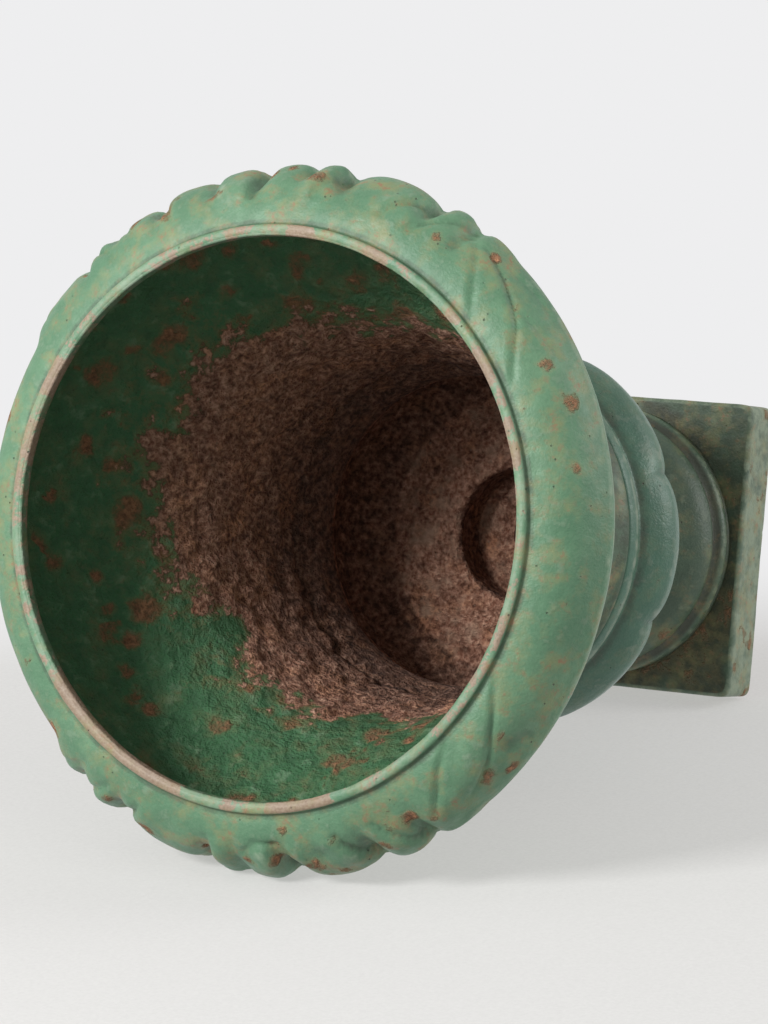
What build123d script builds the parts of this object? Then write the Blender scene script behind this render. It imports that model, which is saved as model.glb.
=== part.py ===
from build123d import *
import os
from math import cos, hypot, radians, sin

# A cast-iron garden urn of campana shape, standing upright: a flared bowl with a rolled rim, a gadrooned
# lower bowl, a waisted foot and a square plinth, held on one another by a rod with a nut at each end.
# +Z is up. The origin is at the middle of the plinth's underside. Lengths are in millimetres.

os.makedirs("parts", exist_ok=True)

# Plinth: a square cap, hollow beneath.
plinth_margin = 6.5
plinth_height = 36.0
plinth_wall = 7.0
plinth_deck = 8.0
plinth_corner_round = 4.0
plinth_edge_round = 2.5
pilot_height = 3.0
pilot_width = 6.0

# Foot: a hollow waisted casting with a bead at its base.
foot_radius = 88.0
foot_height = 95.0
foot_base_band = 3.0
foot_bead_height = 12.0
foot_step = 5.0
stem_radius = 40.0
stem_collar_swell = 10.0
stem_collar_height = 12.0
foot_wall = 7.0
foot_top_thickness = 8.0

# Lower bowl: a gadrooned bulge with a flat floor, and a well in the floor for the rod's upper nut.
bowl_height = 109.0
bulge_swell = 14.0
bulge_height = 70.0
lobe_count = 8
cusp_radius = 11.0
cusp_depth = 4.0
bowl_fillet_swell = 2.0
bowl_fillet_height = 15.0
bowl_wall = 7.0
bowl_floor_height = 33.0
bowl_floor_bend = 26.5
bowl_bottom_thickness = 8.0
well_radius = 41.6
boss_radius = 20.0
boss_height = 3.0

# Upper bowl: the flared casting and its rolled, leaf-edged rim.
collar_height = 251.6
spigot_radius = 101.0
spigot_taper = 6.4
spigot_depth = 8.0
neck_foot_swell = 2.5
neck_foot_height = 5.0
throat_ring_height = 32.0
throat_groove = 2.0
collar_wall = 6.0
rim_radius = 200.0
rim_drop = 36.0
rim_undercut = 3.0
lip_inner_radius = 157.0
lip_width = 6.4
lip_height = 3.4
lip_depth = 7.5
notch_radius = 12.0
notch_depth = 4.0
leaf_notches = (-34.0, -25.5, -9.0, 9.0, 25.5, 34.0)
leaf_sides = (90.0, 270.0)

# Rod and its fasteners: an M12 rod, with a nut and washers in the usual proportion to it.
rod_radius = 6.0
rod_clearance = 1.0
rod_end_chamfer = 1.2
rod_stand_out = 5.0
nut_across_flats = 3.0 * rod_radius
nut_height = 1.8 * rod_radius
nut_chamfer = 1.0
washer_radius = 2.5 * rod_radius
washer_thickness = 3.0

# Radii that follow from the pieces they meet.
seat_clearance = 0.3
rod_hole_radius = rod_radius + rod_clearance
spigot_bore = spigot_radius - spigot_taper
neck_radius = spigot_radius + collar_wall
neck_foot_radius = neck_radius + neck_foot_swell
bowl_fillet_radius = neck_foot_radius + bowl_fillet_swell
bulge_radius = neck_foot_radius + bulge_swell
cusp_bottom_radius = bulge_radius - cusp_depth
stem_collar_radius = stem_radius + stem_collar_swell
plinth_side = 2 * (foot_radius + plinth_margin)

# Heights of the joints between the castings.
foot_z = plinth_height
bowl_z = foot_z + foot_height
collar_z = bowl_z + bowl_height
top_z = collar_z + collar_height
deck_z = plinth_height - plinth_deck
well_z = bowl_z + bowl_bottom_thickness


def at(point):
    """A profile point (radius, height) as a point of the vertical plane y = 0."""
    return (point[0], 0, point[1])


def line(start, end):
    return Line(at(start), at(end))


def arc(start, middle, end):
    return ThreePointArc(at(start), at(middle), at(end))


def curve(points):
    return Spline(*[at(point) for point in points])


def straight(*points):
    """The straight runs that join a list of profile points."""
    return [line(start, end) for start, end in zip(points, points[1:])]


def turned(edges):
    """The solid that a closed profile sweeps about the vertical axis."""
    return revolve(make_face(edges), Axis.Z)


def between(start, end, share_r, share_z):
    """A profile point at a share of the way from one point to another, separately in radius and height."""
    return (start[0] + share_r * (end[0] - start[0]), start[1] + share_z * (end[1] - start[1]))


def shifted(points, distance):
    """A run of profile points moved to the right of its direction, square to the chord of its neighbours."""
    moved = []
    for i, (r, z) in enumerate(points):
        before = points[max(i - 1, 0)]
        after = points[min(i + 1, len(points) - 1)]
        chord_r = after[0] - before[0]
        chord_z = after[1] - before[1]
        length = hypot(chord_r, chord_z)
        moved.append((r + distance * chord_z / length, z - distance * chord_r / length))
    return moved


def ring(outer, inner, height, z):
    """A flat ring that stands on the height z."""
    solid = Cylinder(outer, height, align=(Align.CENTER, Align.CENTER, Align.MIN))
    solid -= Cylinder(inner, height, align=(Align.CENTER, Align.CENTER, Align.MIN))
    return Pos(0, 0, z) * solid


def rod_hole(bottom, top):
    """The clearance hole for the rod, run past both faces of a deck."""
    return Pos(0, 0, bottom - 1) * Cylinder(
        rod_hole_radius, top - bottom + 2, align=(Align.CENTER, Align.CENTER, Align.MIN)
    )


def make_plinth():
    block = Box(plinth_side, plinth_side, plinth_height, align=(Align.CENTER, Align.CENTER, Align.MIN))
    block = fillet(block.edges().filter_by(Axis.Z), plinth_corner_round)
    block = fillet(block.faces().sort_by(Axis.Z)[-1].edges(), plinth_edge_round)
    inside = plinth_side - 2 * plinth_wall
    block -= Box(inside, inside, deck_z, align=(Align.CENTER, Align.CENTER, Align.MIN))
    pilot_outer = foot_radius - foot_wall - seat_clearance
    block += ring(pilot_outer, pilot_outer - pilot_width, pilot_height, plinth_height)
    return block - rod_hole(deck_z, plinth_height)


def foot_outline():
    """The foot's outer profile from its base up: band, bead, groove, swelling flare, stem and collar."""
    band_top = foot_z + foot_base_band
    bead_top = band_top + foot_bead_height
    shoulder = foot_radius - foot_step
    collar_bottom = bowl_z - stem_collar_height
    base = (foot_radius, foot_z)
    bead_start = (foot_radius - 2, band_top)
    bead_end = (shoulder, bead_top)
    stem = (stem_radius, collar_bottom - 8)
    flare = [bead_end]
    for share_r, share_z in ((0.16, 0.22), (0.52, 0.44), (0.86, 0.72)):
        flare.append(between(bead_end, stem, share_r, share_z))
    flare.append(stem)
    under_collar = (stem_radius + 2, collar_bottom)
    collar_middle = (stem_collar_radius, (collar_bottom + bowl_z) / 2)
    collar_end = (stem_collar_radius - 3, bowl_z)
    bead_middle = (foot_radius, (band_top + bead_top) / 2 - 1)
    edges = [line(base, (foot_radius, band_top - 2)), line((foot_radius, band_top - 2), bead_start)]
    edges += [arc(bead_start, bead_middle, bead_end), curve(flare), line(stem, under_collar)]
    edges += [arc(under_collar, collar_middle, collar_end)]
    return edges, base, collar_end, flare


def make_foot():
    edges, base, top, flare = foot_outline()
    inner_base = foot_radius - foot_wall
    ceiling = bowl_z - foot_top_thickness
    hollow = [(inner_base, foot_z), (inner_base, flare[0][1] - 6)]
    inner_flare = shifted(flare, -foot_wall)[1:-1]
    hollow_top = (stem_radius - foot_wall, ceiling)
    edges += straight(top, (0, bowl_z), (0, ceiling), hollow_top, inner_flare[-1])
    edges += [curve([hollow[1]] + inner_flare)]
    edges += straight(hollow[1], hollow[0], base)
    solid = turned(edges)
    solid += Pos(0, 0, bowl_z) * Cylinder(
        boss_radius, boss_height, align=(Align.CENTER, Align.CENTER, Align.MIN)
    )
    return solid - rod_hole(ceiling, bowl_z + boss_height)


def make_lower_bowl():
    fillet_bottom = collar_z - bowl_fillet_height
    bulge_z = bowl_z + bulge_height
    mouth = spigot_radius + seat_clearance
    rim_top = (neck_foot_radius, collar_z)
    fillet_middle = (bowl_fillet_radius, collar_z - bowl_fillet_height / 2 - 1)
    fillet_end = (neck_foot_radius - 1, fillet_bottom)
    foot_edge = (stem_collar_radius + 4, bowl_z)
    widest = (bulge_radius, bulge_z)
    shoulder = between(fillet_end, widest, 0.72, 0.34)
    belly = between(widest, foot_edge, 0.30, 0.62)
    floor_z = bowl_z + bowl_floor_height
    inner_throat = (mouth, fillet_bottom - 4)
    inner_widest = (cusp_bottom_radius - bowl_wall, bulge_z)
    inner_shoulder = between(inner_throat, inner_widest, 0.70, 0.42)
    floor_edge = (inner_widest[0] - bowl_floor_bend, floor_z)
    inner_belly = between(inner_widest, floor_edge, 0.25, 0.60)
    body = turned(
        [arc(rim_top, fillet_middle, fillet_end), arc(fillet_end, shoulder, widest)]
        + [arc(widest, belly, foot_edge)]
        + straight(foot_edge, (0, bowl_z), (0, collar_z), rim_top)
    )
    cutter = Pos(cusp_bottom_radius + cusp_radius, 0, bulge_z) * Cylinder(cusp_radius, 2 * bulge_height)
    for index in range(lobe_count):
        body -= Rot(0, 0, (index + 0.5) * 360 / lobe_count) * cutter
    cavity = turned(
        [line((mouth, collar_z), inner_throat), arc(inner_throat, inner_shoulder, inner_widest)]
        + [arc(inner_widest, inner_belly, floor_edge)]
        + straight(floor_edge, (well_radius, floor_z), (well_radius, well_z), (0, well_z))
        + straight((0, well_z), (0, collar_z), (mouth, collar_z))
    )
    socket = Pos(0, 0, bowl_z) * Cylinder(
        boss_radius + seat_clearance,
        boss_height + seat_clearance,
        align=(Align.CENTER, Align.CENTER, Align.MIN),
    )
    return body - cavity - socket - rod_hole(bowl_z, well_z)


def make_upper_bowl():
    """The flare is one wall: its outer run of points is the inner run moved out by the wall."""
    throat_z = collar_z + throat_ring_height
    rim_z = top_z - rim_drop
    hollow_edge = (rim_radius - rim_undercut - collar_wall, rim_z - 4)
    throat = (spigot_radius, throat_z)
    inner = [throat]
    for share_r, share_z in ((0.09, 0.21), (0.21, 0.44), (0.43, 0.61), (0.68, 0.73)):
        inner.append(between(throat, hollow_edge, share_r, share_z))
    inner.append(hollow_edge)
    outer = shifted(inner, collar_wall)
    arris = (rim_radius, rim_z)
    lip_outer = lip_inner_radius + lip_width
    groove = (lip_outer + 2, top_z - lip_height)
    ovolo_middle = between(groove, arris, 0.64, 0.33)
    roll_start = (lip_inner_radius + 4, top_z - lip_depth - 1.5)
    roll_middle = (ovolo_middle[0] - collar_wall * 0.6, ovolo_middle[1] - collar_wall * 0.8)
    neck_foot_top = (neck_foot_radius, collar_z + neck_foot_height)
    neck = (neck_radius, collar_z + throat_ring_height * 0.6)
    outer_run = [neck] + outer[1:-1] + [(rim_radius - rim_undercut, rim_z - 8)]
    spigot_bottom = collar_z - spigot_depth
    edges = straight(
        (spigot_bore, spigot_bottom), (spigot_radius, spigot_bottom), (spigot_radius, collar_z)
    )
    edges += straight((spigot_radius, collar_z), (neck_foot_radius, collar_z), neck_foot_top)
    edges += [curve([neck_foot_top, between(neck_foot_top, neck, 0.8, 0.4), neck])]
    edges += [curve(outer_run), line(outer_run[-1], arris), arc(arris, ovolo_middle, groove)]
    edges += straight(groove, (lip_outer, top_z - lip_height))
    edges += straight((lip_outer, top_z - lip_height), (lip_outer - 1, top_z), (lip_inner_radius + 1, top_z))
    edges += straight((lip_inner_radius + 1, top_z), (lip_inner_radius, top_z - 1.5))
    edges += straight((lip_inner_radius, top_z - 1.5), (lip_inner_radius, top_z - lip_depth), roll_start)
    edges += [arc(roll_start, roll_middle, hollow_edge), curve(inner)]
    ring_top = (spigot_radius, throat_z - 2 * throat_groove)
    edges += straight(throat, (spigot_radius + throat_groove, throat_z - throat_groove), ring_top)
    edges += straight(ring_top, (spigot_bore, collar_z + 3), (spigot_bore, spigot_bottom))
    solid = turned(edges)
    notch_centre = rim_radius - notch_depth + notch_radius
    cutter = Pos(notch_centre, 0, rim_z) * Cylinder(notch_radius, 2 * rim_drop)
    for side in leaf_sides:
        for angle in leaf_notches:
            solid -= Rot(0, 0, side + angle) * cutter
    return solid


def make_rod():
    bottom = deck_z - washer_thickness - nut_height - rod_stand_out
    top = well_z + washer_thickness + nut_height + rod_stand_out
    rod = Cylinder(rod_radius, top - bottom, align=(Align.CENTER, Align.CENTER, Align.MIN))
    rod = chamfer(rod.edges().filter_by(GeomType.CIRCLE), rod_end_chamfer)
    return Pos(0, 0, bottom) * rod


def make_nut(z):
    corner = nut_across_flats / 2 / cos(radians(30))
    nut = extrude(RegularPolygon(corner, 6), nut_height)
    cone_side = corner - nut_chamfer
    bevel = turned(
        straight(
            (0, 0),
            (cone_side, 0),
            (corner, nut_chamfer),
            (corner, nut_height - nut_chamfer),
            (cone_side, nut_height),
            (0, nut_height),
            (0, 0),
        )
    )
    nut = nut & bevel
    nut -= Cylinder(rod_radius, 3 * nut_height)
    return Pos(0, 0, z) * nut


nodes = {
    "plinth": make_plinth(),
    "foot": make_foot(),
    "lower_bowl": make_lower_bowl(),
    "upper_bowl": make_upper_bowl(),
    "tie_rod": make_rod(),
    "top_washer": ring(washer_radius, rod_hole_radius, washer_thickness, well_z),
    "top_nut": make_nut(well_z + washer_thickness),
    "bottom_washer": ring(washer_radius, rod_hole_radius, washer_thickness, deck_z - washer_thickness),
    "bottom_nut": make_nut(deck_z - washer_thickness - nut_height),
}

for name, solid in nodes.items():
    export_step(solid, f"parts/{name}.step")
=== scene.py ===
import math

import bpy
import numpy as np
from mathutils import Matrix, Vector


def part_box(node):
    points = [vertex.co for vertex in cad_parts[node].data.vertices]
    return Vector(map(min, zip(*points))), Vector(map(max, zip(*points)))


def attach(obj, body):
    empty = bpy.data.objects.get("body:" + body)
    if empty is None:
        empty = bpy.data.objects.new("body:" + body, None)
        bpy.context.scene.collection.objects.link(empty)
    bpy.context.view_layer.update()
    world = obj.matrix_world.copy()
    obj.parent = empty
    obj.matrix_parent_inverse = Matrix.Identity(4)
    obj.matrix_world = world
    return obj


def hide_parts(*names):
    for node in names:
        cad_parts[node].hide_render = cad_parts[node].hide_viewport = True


# A cast-iron campana urn in worn green paint, with a rusted inside. Four iron castings stand on one another
# and a threaded rod clamps them. Lengths in this file are millimetres until a mesh is made, then metres.

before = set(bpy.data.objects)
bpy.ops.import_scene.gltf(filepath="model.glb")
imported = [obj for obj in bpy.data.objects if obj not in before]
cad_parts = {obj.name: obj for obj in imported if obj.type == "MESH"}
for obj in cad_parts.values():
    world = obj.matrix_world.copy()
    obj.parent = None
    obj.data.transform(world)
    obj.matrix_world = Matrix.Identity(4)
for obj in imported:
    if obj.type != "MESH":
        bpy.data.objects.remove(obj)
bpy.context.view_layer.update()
MM = 0.001
FULL_TURN = 2 * math.pi


def reach(node):
    """A CAD node's half width, bottom and top, in millimetres."""
    low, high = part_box(node)
    return high.x / MM, low.z / MM, high.z / MM


plinth_half, ground, pilot_top = reach("plinth")
foot_reach, foot_seat, boss_top = reach("foot")
_, bowl_seat, collar_seat = reach("lower_bowl")
rim_reach, spigot_bottom, mouth_top = reach("upper_bowl")
rod_reach, rod_bottom, rod_top = reach("tie_rod")
hole_radius = rod_reach + 1
rim_skin = 0.25


# ---------------------------------------------------------------- fields of grit and spots


def cell_number(cell, seed):
    """A number from 0 to 1 for each lattice cell: its whole coordinates times large odd numbers, scrambled
    twice."""
    c = cell.astype(np.int64)
    h = (c[..., 0] * 73856093) ^ (c[..., 1] * 19349663) ^ (c[..., 2] * 83492791) ^ (seed * 374761393)
    h = h & 0xFFFFFFFF
    h = ((h ^ (h >> 15)) * 2246822519) & 0xFFFFFFFF
    h = ((h ^ (h >> 13)) * 3266489917) & 0xFFFFFFFF
    return (h ^ (h >> 16)) / 4294967295.0


def lattice(side):
    """The whole offsets of a block of cells, one row each."""
    return np.stack(np.meshgrid(side, side, side, indexing="ij"), -1).reshape(-1, 3)


def grit(points, size, seed):
    """Smooth lumps from -1 to 1: the cell numbers at a cell's 8 corners, blended by smoothed distance."""
    p = points / size
    low = np.floor(p)
    t = p - low
    t = t * t * (3 - 2 * t)
    total = 0
    for corner in lattice((0, 1)):
        total = total + np.where(corner, t, 1 - t).prod(-1) * cell_number(low + corner, seed)
    return 2 * total - 1


def crumble(points, size, layers, seed):
    """Lumps with smaller lumps on them: grit at a size, half of it at half the size, and so on."""
    total = 0
    for layer in range(layers):
        total = total + grit(points, size / 2**layer, seed + layer) / 2**layer
    return total


def scattered(points, size, seed):
    """The distance in millimetres from each point to the nearest of one loose spot in each cell, and that
    spot's number."""
    p = points / size
    cell = np.floor(p)
    nearest = np.full(p.shape[:-1], 9.0)
    number = np.zeros(p.shape[:-1])
    for offset in lattice((-1, 0, 1)):
        c = cell + offset
        spot = np.stack([cell_number(c, seed + k) for k in (1, 2, 3)], -1)
        away = np.linalg.norm(p - c - spot, axis=-1)
        closer = away < nearest
        nearest = np.where(closer, away, nearest)
        number = np.where(closer, cell_number(c, seed), number)
    return nearest * size, number


def ease(value, start, end):
    """0 at start and 1 at end, or the other way where end is lower, with a smooth run between."""
    t = np.clip((value - start) / (end - start), 0, 1)
    return t * t * (3 - 2 * t)


# ---------------------------------------------------------------- profiles


def drawn(points, count):
    """count points evenly spaced along a smooth curve through the given ones, the last left out: Catmull-Rom
    pieces, each a cubic of its four nearest points, measured by their length."""
    p = np.array(points, float)
    ends = np.vstack([2 * p[0] - p[1], p, 2 * p[-1] - p[-2]])
    a, b, c, d = (ends[k : len(ends) - 3 + k, None] for k in range(4))
    t = np.linspace(0, 1, 24, endpoint=False)[:, None]
    fine = b + 0.5 * ((c - a) * t + (2 * a - 5 * b + 4 * c - d) * t**2 + (3 * b - a - 3 * c + d) * t**3)
    fine = np.vstack([fine.reshape(-1, 2), p[-1:]])
    along = np.r_[0, np.cumsum(np.linalg.norm(np.diff(fine, axis=0), axis=1))]
    at = np.linspace(0, along[-1], count, endpoint=False)
    return np.stack([np.interp(at, along, fine[:, 0]), np.interp(at, along, fine[:, 1])], 1)


def bowed(start, middle, end, count):
    """count points evenly spaced on the circle through three points, the last left out."""
    (ax, ay), (bx, by), (cx, cy) = start, middle, end
    twice = 2 * (ax * (by - cy) + bx * (cy - ay) + cx * (ay - by))
    a2, b2, c2 = ax**2 + ay**2, bx**2 + by**2, cx**2 + cy**2
    x = (a2 * (by - cy) + b2 * (cy - ay) + c2 * (ay - by)) / twice
    y = (a2 * (cx - bx) + b2 * (ax - cx) + c2 * (bx - ax)) / twice
    angles = np.unwrap([math.atan2(q - y, p - x) for p, q in (start, middle, end)])
    turn = np.linspace(angles[0], angles[2], count, endpoint=False)
    radius = math.hypot(ax - x, ay - y)
    return np.stack([x + radius * np.cos(turn), y + radius * np.sin(turn)], 1)


class Profile:
    """A closed loop of (radius, height) points, up the outside and down the inside, made of named runs."""

    def __init__(self, **runs):
        self.points = np.vstack(list(runs.values()))
        self.names = np.repeat(list(runs), [len(r) for r in runs.values()])
        ahead = np.roll(self.points, -1, 0) - np.roll(self.points, 1, 0)
        ahead /= np.linalg.norm(ahead, axis=1)[:, None]
        self.out = np.stack([ahead[:, 1], -ahead[:, 0]], 1)

    def on(self, *names):
        """1 on the named runs and 0 elsewhere."""
        return np.isin(self.names, names).astype(float)

    def share(self, name):
        """How far along its run each point lies, 0 off the run."""
        found = np.zeros(len(self.points))
        where = np.flatnonzero(self.names == name)
        found[where] = np.linspace(0, 1, len(where), endpoint=False)
        return found

    def spun(self, turns, plan=1.0):
        """The grid of points that the loop sweeps about the axis, and each row's angle in degrees."""
        angle = FULL_TURN * np.arange(turns)[:, None] / turns
        r = self.points[:, 0] * plan
        grid = np.stack([r * np.cos(angle), r * np.sin(angle), self.points[:, 1] + 0 * angle + 0 * r], -1)
        return grid, np.degrees(angle)


def ride_with_finish(piece, node_name, material):
    """Hands a finished piece to the frame: gives it its material, parents it to the root body and hides its CAD
    node.
    """
    piece.data.materials.append(material)
    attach(piece, "root")
    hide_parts(node_name)
    return piece


def meshed(name, grid, marks):
    """A piece from a grid of points whose rows go round the axis and whose columns go round the profile, both
    closing on themselves, with one number at each point for each mark."""
    rows, columns = grid.shape[:2]
    index = np.arange(rows * columns).reshape(rows, columns)
    after, beside = np.roll(index, -1, 0), np.roll(index, -1, 1)
    faces = np.stack([index, after, np.roll(after, -1, 1), beside], -1).reshape(-1, 4)
    mesh = bpy.data.meshes.new(name)
    mesh.vertices.add(rows * columns)
    mesh.vertices.foreach_set("co", (grid * MM).astype(np.float32).ravel())
    mesh.loops.add(faces.size)
    mesh.loops.foreach_set("vertex_index", faces.astype(np.int32).ravel())
    mesh.polygons.add(len(faces))
    mesh.polygons.foreach_set("loop_start", np.arange(0, faces.size, 4, dtype=np.int32))
    mesh.update(calc_edges=True)
    mesh.polygons.foreach_set("use_smooth", np.ones(len(faces), bool))
    for mark, values in marks.items():
        layer = mesh.attributes.new(mark, "FLOAT", "POINT")
        layer.data.foreach_set("value", np.broadcast_to(values, (rows, columns)).astype(np.float32).ravel())
    mesh.validate()
    piece = bpy.data.objects.new(name, mesh)
    bpy.context.scene.collection.objects.link(piece)
    return piece


def pushed(grid, angle, profile, push, sideways=0.0):
    """The grid with each point moved along its profile's outward normal, and straight out from the axis."""
    turn = np.radians(angle)
    outward = push * profile.out[:, 0] + sideways
    step = np.stack([outward * np.cos(turn), outward * np.sin(turn), push * profile.out[:, 1] + 0 * turn], -1)
    return grid + step


# ---------------------------------------------------------------- materials


def linear(code):
    """An sRGB hex colour as linear red, green and blue, with an alpha of 1."""
    parts = [int(code[k : k + 2], 16) / 255 for k in (1, 3, 5)]
    return [p / 12.92 if p <= 0.04045 else ((p + 0.055) / 1.055) ** 2.4 for p in parts] + [1.0]


def node(tree, kind, inputs=None, **settings):
    """Adds one shader node. Its inputs are given by name or number, each a value or the output feeding it."""
    made = tree.nodes.new("ShaderNode" + kind)
    for name, value in settings.items():
        setattr(made, name, value)
    for name, value in (inputs or {}).items():
        if isinstance(value, bpy.types.NodeSocket):
            tree.links.new(value, made.inputs[name])
        else:
            made.inputs[name].default_value = value
    return made


def patches(tree, place, size, low, high, detail=5.0, rough=0.6):
    """Cloudy patches of a size in millimetres, 0 below low and 1 above high."""
    cloud = node(
        tree, "TexNoise", {"Vector": place, "Scale": 1 / (size * MM), "Detail": detail, "Roughness": rough}
    )
    return node(tree, "MapRange", {0: cloud.outputs[0], 1: low, 2: high}).outputs[0]


def blended(tree, share, first, second):
    """One colour over another by a share from 0 to 1. A colour is a hex code or an output."""
    pick = [linear(c) if isinstance(c, str) else c for c in (first, second)]
    return node(tree, "Mix", {0: share, 6: pick[0], 7: pick[1]}, data_type="RGBA").outputs[2]


def summed(tree, first, second, kind="ADD"):
    """Two numbers joined by a sum, or by the kind of sum named."""
    return node(tree, "Math", {0: first, 1: second}, operation=kind).outputs[0]


# Rust from the hollows of its scale to its crests, then the orange of fresh rust.
RUST_TONES = ("#5C3B2D", "#A56E56", "#DDB097", "#E8A272")


def weathered_enamel(name, greens, inner_greens, chalk, gloss, smudging):
    """Oil enamel brushed on grey cast iron and left outdoors. The iron's sand-cast skin shows through as a
    slight pebble; the paint has chalked to a satin film with darker and paler clouds; where it let water in,
    brown rust lifted it and bled an ochre halo; on edges it is rubbed to the salmon primer; the bare inside is
    granular rust."""
    material = bpy.data.materials.new(name)
    material.use_nodes = True
    tree = material.node_tree
    tree.nodes.clear()
    place = node(tree, "TexCoord").outputs["Object"]

    def mark(kind):
        return node(tree, "Attribute", attribute_name=kind).outputs["Fac"]

    rust, bloom, wear_and_highlight, grime_and_shade, inside, primer = (
        mark(kind) for kind in ("rust", "bloom", "wear_and_highlight", "grime_and_shade", "inside", "primer")
    )
    # Paint: broad clouds about 60 mm across, brush and chalk mottling of 9 mm, and grains of 1.5 mm.
    broad = patches(tree, place, 60, 0.35, 0.65, detail=3)
    mottle = patches(tree, place, 9, 0.32, 0.68)
    grain = patches(tree, place, 1.5, 0.3, 0.7, detail=3)
    paint = blended(tree, broad, greens[0], greens[1])
    paint = blended(tree, summed(tree, mottle, 0.55, "MULTIPLY"), paint, greens[2])
    under = blended(tree, mottle, inner_greens[0], inner_greens[1])
    under = blended(tree, summed(tree, grain, 0.4, "MULTIPLY"), under, inner_greens[2])
    paint = blended(tree, inside, paint, under)
    paint = blended(tree, summed(tree, grain, 0.12, "MULTIPLY"), paint, chalk)

    # Chalky wear on the edges, which also carries painted highlights on some crests; dirt and painted shade in
    # the hollows, as a dark olive brown.
    edge = summed(tree, wear_and_highlight, summed(tree, mottle, 0.5, "SUBTRACT"))
    edge = node(tree, "MapRange", {0: edge, 1: 0.2, 2: 0.9}).outputs[0]
    paint = blended(tree, summed(tree, edge, 0.75, "MULTIPLY"), paint, chalk)
    soil_and_shade = summed(tree, grime_and_shade, summed(tree, mottle, 0.35, "MULTIPLY"))
    soil_and_shade = node(tree, "MapRange", {0: soil_and_shade, 1: 0.35, 2: 1.1}).outputs[0]
    paint = blended(tree, summed(tree, soil_and_shade, 0.8, "MULTIPLY"), paint, "#2F3022")

    # Salmon primer where the top coat has flaked off in ragged flecks of about 3 mm.
    ragged = patches(tree, place, 3, 0.0, 1.0, detail=6, rough=0.7)
    flaked = summed(tree, primer, summed(tree, ragged, 0.5, "SUBTRACT"))
    flaked = node(tree, "MapRange", {0: flaked, 1: 0.46, 2: 0.58, 4: 0.8}).outputs[0]
    pink = blended(tree, grain, "#8C6A5A", "#A98C7A")
    paint = blended(tree, flaked, paint, pink)

    # Rust: a torn pattern of 12 mm breaks up its outline. Its brown scale has pale pinkish crests of 3 to 6 mm.
    torn = patches(tree, place, 12, 0.22, 0.78, detail=8, rough=0.66)
    lump = patches(tree, place, 6, 0.28, 0.66, detail=4, rough=0.6)
    crumb = patches(tree, place, 3, 0.36, 0.66, detail=4, rough=0.6)
    scale = blended(tree, lump, RUST_TONES[0], RUST_TONES[1])
    scale = blended(tree, summed(tree, crumb, lump, "MULTIPLY"), scale, RUST_TONES[2])
    hot = summed(tree, patches(tree, place, 22, 0.5, 0.75), crumb, "MULTIPLY")
    scale = blended(tree, summed(tree, hot, 0.8, "MULTIPLY"), scale, RUST_TONES[3])
    pale = summed(tree, patches(tree, place, 3.2, 0.64, 0.72, detail=3), 0.6, "MULTIPLY")
    scale = blended(tree, pale, scale, "#A08A78")
    lime = summed(tree, patches(tree, place, 16, 0.5, 0.66, detail=7, rough=0.62), mark("lime"), "MULTIPLY")
    scale = blended(tree, summed(tree, lime, 0.75, "MULTIPLY"), scale, "#C2A28A")
    # Damp and soot, and painted shade, darken the rust to near black in the marked hollows and depths, least on
    # the lumps.
    damp_and_shade = summed(tree, grime_and_shade, summed(tree, lump, 0.25, "MULTIPLY"), "SUBTRACT")
    damp_and_shade = node(tree, "MapRange", {0: damp_and_shade}).outputs[0]
    scale = blended(tree, damp_and_shade, scale, "#17100C")

    # Ochre smudges of 6 to 20 mm, fainter on the inside, with a few red-brown specks in them.
    smudge = patches(tree, place, 15, 0.47, 0.7, detail=7)
    smudge = summed(tree, smudge, patches(tree, place, 60, 0.3, 0.55), "MULTIPLY")
    open_paint = node(tree, "MapRange", {0: inside, 3: 1.0, 4: 0.45}).outputs[0]
    smudge = summed(tree, smudge, open_paint, "MULTIPLY")
    paint = blended(tree, summed(tree, smudge, smudging, "MULTIPLY"), paint, "#8E8A5C")
    speck = summed(tree, patches(tree, place, 4, 0.53, 0.62, detail=5), smudge, "MULTIPLY")
    paint = blended(tree, summed(tree, speck, smudging, "MULTIPLY"), paint, "#96614A")

    # Ochre bleed round each bloom, then the bloom's own rust.
    spread = summed(tree, bloom, summed(tree, summed(tree, torn, 0.55, "SUBTRACT"), 1.5, "MULTIPLY"))
    spread = summed(tree, spread, node(tree, "MapRange", {0: bloom, 1: 0.0, 2: 0.3}).outputs[0], "MULTIPLY")
    halo = node(tree, "MapRange", {0: spread, 1: 0.0, 2: 0.7}).outputs[0]
    paint = blended(tree, summed(tree, halo, 0.35, "MULTIPLY"), paint, "#97895A")
    core = node(tree, "MapRange", {0: spread, 1: 0.42, 2: 0.95}).outputs[0]
    spot = blended(tree, crumb, "#7A4E3A", "#C48A66")
    paint = blended(tree, summed(tree, core, 0.85, "MULTIPLY"), paint, spot)

    # Bare rust with a torn outline, and an ochre fringe that is kept to paint with rust near it.
    fray = summed(tree, summed(tree, torn, 0.5, "SUBTRACT"), 0.95, "MULTIPLY")
    bare = node(tree, "MapRange", {0: summed(tree, rust, fray), 1: 0.48, 2: 0.55}).outputs[0]
    fringe = node(tree, "MapRange", {0: summed(tree, rust, fray), 1: 0.3, 2: 0.5}).outputs[0]
    near_rust = node(tree, "MapRange", {0: rust, 1: 0.0, 2: 0.12}).outputs[0]
    fringe = summed(tree, fringe, near_rust, "MULTIPLY")
    paint = blended(tree, summed(tree, fringe, 0.45, "MULTIPLY"), paint, "#94764A")
    colour = blended(tree, bare, paint, scale)

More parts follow.
